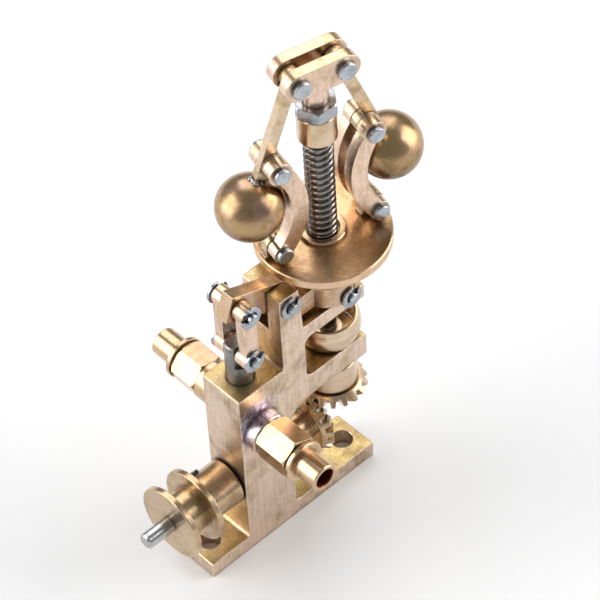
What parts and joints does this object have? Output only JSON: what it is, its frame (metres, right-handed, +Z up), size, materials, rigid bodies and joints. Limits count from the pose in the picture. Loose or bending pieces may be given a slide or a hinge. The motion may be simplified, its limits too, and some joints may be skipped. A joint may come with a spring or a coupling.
{
  "type": "flyball governor",
  "caption": "Brass flyball governor on a milled frame: belt pulley and bevel gears turn the spindle, balls lift a sleeve, and a forked lever works a plunger valve between pipe unions.",
  "frame": {"origin": "centre of the underside of the base plate", "axes": "+Z up along the spindle, +X along the base plate from the pulley to the spindle, +Y towards the back pipe union"},
  "size_m": [0.0624, 0.0405, 0.1006],
  "materials": {
    "brass_frame": "satin, milled",
    "brass_bar": "satin",
    "brass_turned": "turned",
    "brass_disc": "turned, satin",
    "brass_union": "turned, bright",
    "brass_ball": "aged satin",
    "steel_pin": "bright",
    "steel_clip": "bright",
    "steel_shaft": "ground",
    "steel_spring": "dark"
  },
  "bodies": {
    "base": {"frame": "brass_frame", "upper_bush": "brass_turned", "lower_bush": "brass_turned", "shaft_bush_left": "brass_turned", "shaft_bush_right": "brass_turned", "union_body_front": "brass_union", "union_body_back": "brass_union", "union_nut_front": "brass_union", "union_nut_back": "brass_union", "pipe_tail_front": "brass_union", "pipe_tail_back": "brass_union", "lever_pivot_pin": "steel_pin", "e_clips_frame": "steel_clip"},
    "drive": {"drive_shaft": "steel_shaft", "pulley": "brass_turned", "grub_screw": "steel_shaft", "pinion": "brass_turned"},
    "rotor": {"spindle": "steel_shaft", "crown_gear": "brass_turned", "oil_cup": "brass_turned", "crosshead": "brass_bar", "crosshead_pins": "steel_pin", "lock_nut": "steel_shaft", "adjusting_sleeve": "brass_turned"},
    "sleeve": {"sleeve_hub": "brass_turned", "disc": "brass_disc", "disc_lug_left": "brass_bar", "disc_lug_right": "brass_bar", "collar_retainer": "brass_turned", "spring": "steel_spring"},
    "collar": {"collar": "brass_turned", "collar_pins": "steel_pin", "e_clips_collar": "steel_clip"},
    "lever": {"lever": "brass_bar", "link_pin_upper": "steel_pin", "e_clips_upper": "steel_clip"},
    "valve_links": {"link_front": "brass_bar", "link_back": "brass_bar", "link_pin_lower": "steel_pin", "e_clips_lower": "steel_clip"},
    "plunger": {"plunger": "steel_shaft"},
    "arm_left": {"arm_left": "brass_bar", "ball_left": "brass_ball", "mid_pin_left": "steel_pin"},
    "arm_right": {"arm_right": "brass_bar", "ball_right": "brass_ball", "mid_pin_right": "steel_pin"},
    "links_left": {"curved_link_left_front": "brass_bar", "curved_link_left_back": "brass_bar", "lower_pin_left": "steel_pin"},
    "links_right": {"curved_link_right_front": "brass_bar", "curved_link_right_back": "brass_bar", "lower_pin_right": "steel_pin"}
  },
  "joints": [
    {"name": "rotor_spin", "type": "hinge", "parent": "base", "child": "rotor", "pos_m": [0.0142, 0, 0], "axis": [0, 0, 1], "continuous": true},
    {"name": "drive_spin", "type": "hinge", "parent": "base", "child": "drive", "pos_m": [-0.0193, 0, 0.0156], "axis": [1, 0, 0], "continuous": true},
    {"name": "sleeve_slide", "type": "slide", "parent": "rotor", "child": "sleeve", "axis": [0, 0, 1], "range_m": [0, 0.0035], "stiffness_N_per_m": 1000, "springref_m": -0.001, "deforming": ["spring"]},
    {"name": "collar_slide", "type": "slide", "parent": "base", "child": "collar", "axis": [0, 0, 1], "range_m": [0, 0.0035]},
    {"name": "lever_pivot", "type": "hinge", "parent": "base", "child": "lever", "pos_m": [0.0023, 0, 0.0539], "axis": [0, -1, 0], "range_deg": [0, 15.31]},
    {"name": "valve_link_pivot", "type": "hinge", "parent": "lever", "child": "valve_links", "pos_m": [-0.00595, 0, 0.0576], "axis": [0, 1, 0], "range_deg": [0, 11.48]},
    {"name": "plunger_slide", "type": "slide", "parent": "base", "child": "plunger", "axis": [0, 0, -1], "range_m": [0, 0.00227]},
    {"name": "arm_left_swing", "type": "hinge", "parent": "rotor", "child": "arm_left", "pos_m": [0.01021, 0.00094, 0.09785], "axis": [0.2284, 0.9736, 0], "range_deg": [0, 20.82]},
    {"name": "links_left_swing", "type": "hinge", "parent": "arm_left", "child": "links_left", "pos_m": [0.00568, 0.002, 0.0811], "axis": [-0.2284, -0.9736, 0], "range_deg": [0, 38.46]},
    {"name": "arm_right_swing", "type": "hinge", "parent": "rotor", "child": "arm_right", "pos_m": [0.01819, -0.00094, 0.09785], "axis": [-0.2284, -0.9736, 0], "range_deg": [0, 20.82]},
    {"name": "links_right_swing", "type": "hinge", "parent": "arm_right", "child": "links_right", "pos_m": [0.02272, -0.002, 0.0811], "axis": [0.2284, 0.9736, 0], "range_deg": [0, 38.46]}
  ],
  "couplings": [
    {"joint": "drive_spin", "follows": "rotor_spin", "ratio": 1},
    {"joint": "collar_slide", "follows": "sleeve_slide", "ratio": 1},
    {"joint": "lever_pivot", "follows": "sleeve_slide", "rad_per_m": 76.3},
    {"joint": "valve_link_pivot", "follows": "sleeve_slide", "rad_per_m": 57.205},
    {"joint": "plunger_slide", "follows": "sleeve_slide", "ratio": 0.646},
    {"joint": "arm_left_swing", "follows": "sleeve_slide", "rad_per_m": 103.78},
    {"joint": "arm_right_swing", "follows": "sleeve_slide", "rad_per_m": 103.78},
    {"joint": "links_left_swing", "follows": "sleeve_slide", "rad_per_m": 191.75},
    {"joint": "links_right_swing", "follows": "sleeve_slide", "rad_per_m": 191.75}
  ]
}
